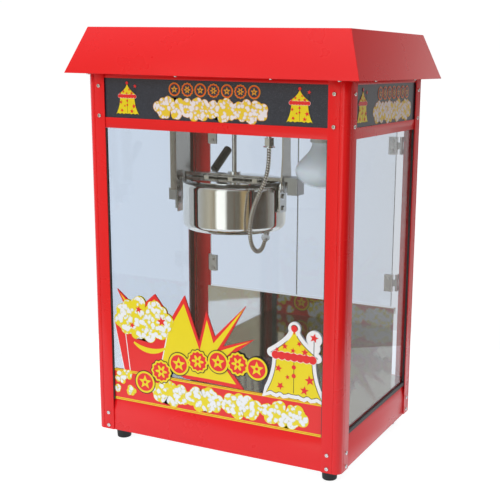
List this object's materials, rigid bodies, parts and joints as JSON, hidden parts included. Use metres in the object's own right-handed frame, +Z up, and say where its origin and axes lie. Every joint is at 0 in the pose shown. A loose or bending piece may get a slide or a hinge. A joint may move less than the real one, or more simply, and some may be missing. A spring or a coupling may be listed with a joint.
{
  "type": "popcorn maker",
  "caption": "Countertop popcorn maker: glazed red cabinet with a tilting steel kettle, rear glass doors, crumb drawer, heat lamp and flared canopy.",
  "frame": {"origin": "on the bench under the middle of the cabinet, at the bottom of the feet", "axes": "+Z up, -Y towards the customer (decorated front), +Y towards the operator (doors), +X towards the heat lamp side"},
  "size_m": [0.56, 0.42, 0.77],
  "materials": {
    "red_paint": "gloss powder coat",
    "red_drawer": "gloss powder coat",
    "sign_print": "printed acrylic",
    "rubber_black": "moulded rubber",
    "seal_rubber": "soft seal",
    "clear_glass": "clear",
    "polished_steel": "mirror polished stainless",
    "lid_steel": "mirror polished stainless",
    "pan_steel": "polished stainless",
    "brushed_steel": "brushed",
    "zinc": "zinc plated",
    "bright_chrome": "bright plated",
    "shaft_steel": "ground",
    "brass_bush": "turned",
    "heater_sheath": "heat darkened",
    "conduit_metal": "corrugated",
    "grip_plastic": "moulded phenolic",
    "socket_ceramic": "glazed",
    "opal_bulb": "opal",
    "switch_black": "moulded",
    "rocker_red": "moulded"
  },
  "bodies": {
    "cabinet": {"base_pan": "zinc", "canopy": "red_paint", "ceiling_plate": "brushed_steel", "conduit_nut": "bright_chrome", "door_catch": "zinc", "floor_tray": "polished_steel", "frame_screws": "bright_chrome", "front_apron": "red_paint", "front_fascia": "red_paint", "front_glass": "clear_glass", "front_left_post": "red_paint", "front_right_post": "red_paint", "front_sign_panel": "sign_print", "gear_motor": "zinc", "glass_seals": "seal_rubber", "heat_lamp": "opal_bulb", "hinge_leaves": "zinc", "lamp_socket": "socket_ceramic", "left_fascia": "red_paint", "left_glass": "clear_glass", "left_hanger_arm": "brushed_steel", "mains_gland": "switch_black", "pivot_blocks": "zinc", "power_conduit": "conduit_metal", "rear_aprons": "red_paint", "rear_fascia": "red_paint", "rear_left_post": "red_paint", "rear_right_post": "red_paint", "rear_sill_panel": "polished_steel", "right_fascia": "red_paint", "right_glass": "clear_glass", "right_hanger_arm": "brushed_steel", "rubber_feet": "rubber_black", "side_aprons": "red_paint", "side_sign_panels": "sign_print", "switch_bezels": "switch_black"},
    "kettle": {"kettle_shell": "polished_steel", "kettle_pan": "pan_steel", "heater_ring": "heater_sheath", "crossbar": "brushed_steel", "shaft_bush": "brass_bush", "left_kettle_bracket": "brushed_steel", "right_kettle_bracket": "brushed_steel", "trunnion_pins": "bright_chrome", "handle_arm": "brushed_steel", "handle_grip": "grip_plastic", "conduit_gland": "bright_chrome"},
    "agitator": {"agitator_shaft": "shaft_steel", "stirring_blade": "shaft_steel"},
    "drive": {"drive_coupling": "zinc"},
    "front_lid": {"front_lid": "lid_steel"},
    "rear_lid": {"rear_lid": "lid_steel"},
    "left_door": {"left_door_glass": "clear_glass", "left_door_fittings": "bright_chrome"},
    "right_door": {"right_door_glass": "clear_glass", "right_door_fittings": "bright_chrome"},
    "drawer": {"crumb_drawer": "red_drawer"},
    "heat_switch": {"heat_rocker": "rocker_red"},
    "motor_switch": {"motor_rocker": "rocker_red"},
    "lamp_switch": {"lamp_rocker": "rocker_red"}
  },
  "joints": [
    {"name": "kettle_tilt", "type": "hinge", "parent": "cabinet", "child": "kettle", "pos_m": [-0.055, 0, 0.4925], "axis": [-1, 0, 0], "range_deg": [0, 85], "deforming": ["power_conduit"]},
    {"name": "agitator_spin", "type": "hinge", "parent": "kettle", "child": "agitator", "pos_m": [-0.055, 0, 0.45], "axis": [0, 0, 1], "continuous": true},
    {"name": "drive_spin", "type": "hinge", "parent": "cabinet", "child": "drive", "pos_m": [-0.055, 0, 0.61], "axis": [0, 0, 1], "continuous": true},
    {"name": "front_lid_fold", "type": "hinge", "parent": "kettle", "child": "front_lid", "pos_m": [-0.055, -0.015, 0.5012], "axis": [-1, 0, 0], "range_deg": [0, 80]},
    {"name": "rear_lid_fold", "type": "hinge", "parent": "kettle", "child": "rear_lid", "pos_m": [-0.055, 0.015, 0.5012], "axis": [1, 0, 0], "range_deg": [0, 80]},
    {"name": "left_door_swing", "type": "hinge", "parent": "cabinet", "child": "left_door", "pos_m": [-0.2135, 0.174, 0.4245], "axis": [0, 0, 1], "range_deg": [0, 90]},
    {"name": "right_door_swing", "type": "hinge", "parent": "cabinet", "child": "right_door", "pos_m": [0.2135, 0.174, 0.4245], "axis": [0, 0, -1], "range_deg": [0, 90]},
    {"name": "drawer_slide", "type": "slide", "parent": "cabinet", "child": "drawer", "axis": [0, 1, 0], "range_m": [0, 0.2]},
    {"name": "heat_rocker_tip", "type": "hinge", "parent": "cabinet", "child": "heat_switch", "pos_m": [-0.07, 0.1753, 0.65], "axis": [1, 0, 0], "range_deg": [0, 18]},
    {"name": "motor_rocker_tip", "type": "hinge", "parent": "cabinet", "child": "motor_switch", "pos_m": [0, 0.1753, 0.65], "axis": [1, 0, 0], "range_deg": [0, 18]},
    {"name": "lamp_rocker_tip", "type": "hinge", "parent": "cabinet", "child": "lamp_switch", "pos_m": [0.07, 0.1753, 0.65], "axis": [1, 0, 0], "range_deg": [0, 18]}
  ],
  "couplings": [
    {"joint": "drive_spin", "follows": "agitator_spin", "ratio": 1}
  ]
}
